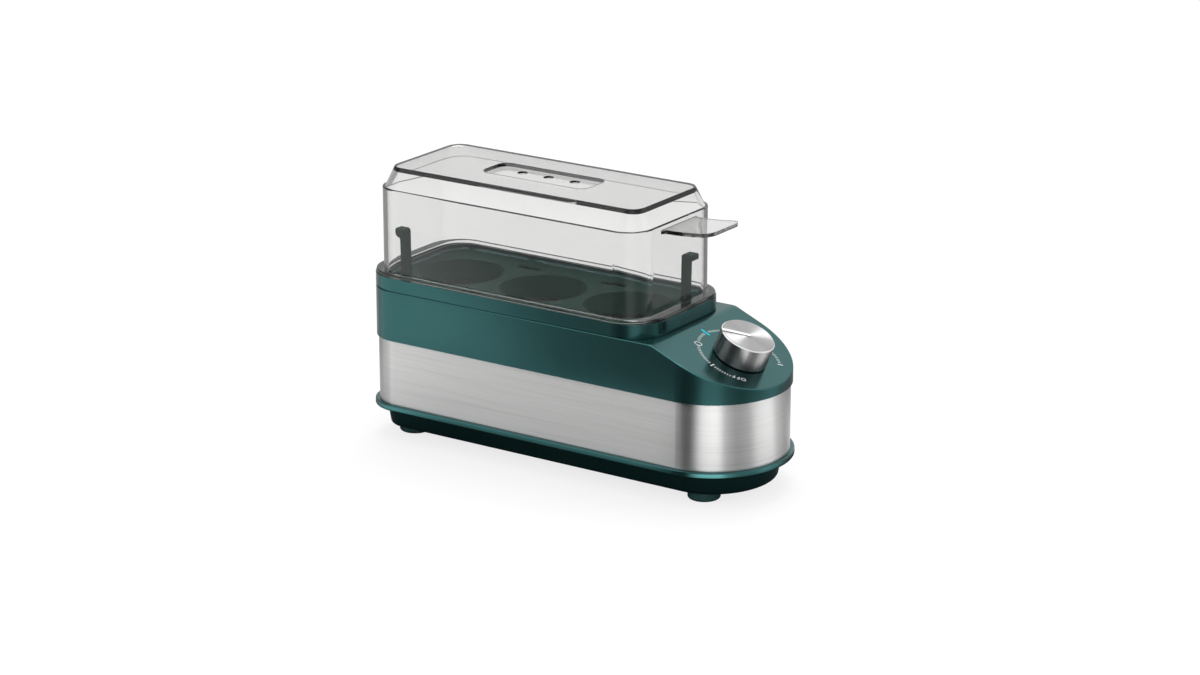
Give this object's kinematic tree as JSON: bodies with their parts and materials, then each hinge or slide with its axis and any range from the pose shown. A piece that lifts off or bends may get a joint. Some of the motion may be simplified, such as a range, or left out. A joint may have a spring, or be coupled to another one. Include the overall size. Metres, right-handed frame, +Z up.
{
  "type": "electric egg cooker",
  "caption": "Countertop egg cooker: clear lift-off lid over a row of egg seats and a heated water pan, brushed steel band, sloping end panel with a round timer knob",
  "frame": {"origin": "On the surface that the feet stand on, under the middle of the base", "axes": "+X towards the timer knob, +Y towards the back wall with the cord gland, +Z up"},
  "size_m": [0.209, 0.0742, 0.1293],
  "materials": {
    "green_plastic": "satin",
    "foot_rubber": "matte",
    "tray_plastic": "satin",
    "frame_plastic": "satin",
    "band_steel": "brushed",
    "clear_plastic": "polished",
    "pan_steel": "satin",
    "seal_rubber": "matte",
    "heater_tube": "oxidised",
    "ceramic": "glazed",
    "zinc_sheet": "bright zinc",
    "zinc_screw": "bright zinc",
    "black_phenolic": "satin",
    "fuse_can": "bright",
    "timer_plastic": "satin",
    "blade_brass": "bright",
    "shaft_plastic": "satin",
    "knob_metal": "spun",
    "pointer_white": "satin",
    "gland_plastic": "satin",
    "block_plastic": "satin",
    "brown_sleeve": "satin",
    "blue_sleeve": "satin",
    "white_sleeve": "satin"
  },
  "bodies": {
    "base": {"base_shell": "green_plastic", "feet": "foot_rubber", "base_screws": "zinc_screw", "steel_band": "band_steel", "inner_frame": "frame_plastic", "upper_housing": "green_plastic", "water_pan": "pan_steel", "pan_seal": "seal_rubber", "heating_element": "heater_tube", "element_insulators": "ceramic", "pan_straps": "zinc_sheet", "pan_nuts": "zinc_screw", "thermostat": "black_phenolic", "thermostat_nuts": "zinc_screw", "thermal_fuse": "fuse_can", "fuse_clip": "zinc_sheet", "timer_plate": "zinc_sheet", "timer_body": "timer_plastic", "timer_tabs": "blade_brass", "timer_screws": "zinc_screw", "cord_gland": "gland_plastic", "gland_nut": "gland_plastic", "terminal_block": "block_plastic", "block_screw": "zinc_screw", "line_lead": "brown_sleeve", "neutral_lead": "blue_sleeve", "timer_lead": "white_sleeve", "fuse_lead": "white_sleeve", "element_lead": "white_sleeve"},
    "tray": {"tray_collar": "green_plastic", "egg_tray": "tray_plastic"},
    "lid": {"lid": "clear_plastic"},
    "knob": {"timer_shaft": "shaft_plastic", "knob_core": "black_phenolic", "knob_cap": "knob_metal", "knob_pointer": "pointer_white"}
  },
  "joints": [
    {"name": "tray_lift", "type": "slide", "parent": "base", "child": "tray", "axis": [0, 0, 1], "range_m": [0, 0.06]},
    {"name": "lid_lift", "type": "slide", "parent": "tray", "child": "lid", "axis": [0, 0, 1], "range_m": [0, 0.1]},
    {"name": "knob_turn", "type": "hinge", "parent": "base", "child": "knob", "pos_m": [0.08181, 0, 0.06189], "axis": [0.3907, 0, 0.9205], "range_deg": [-178, 79]}
  ]
}
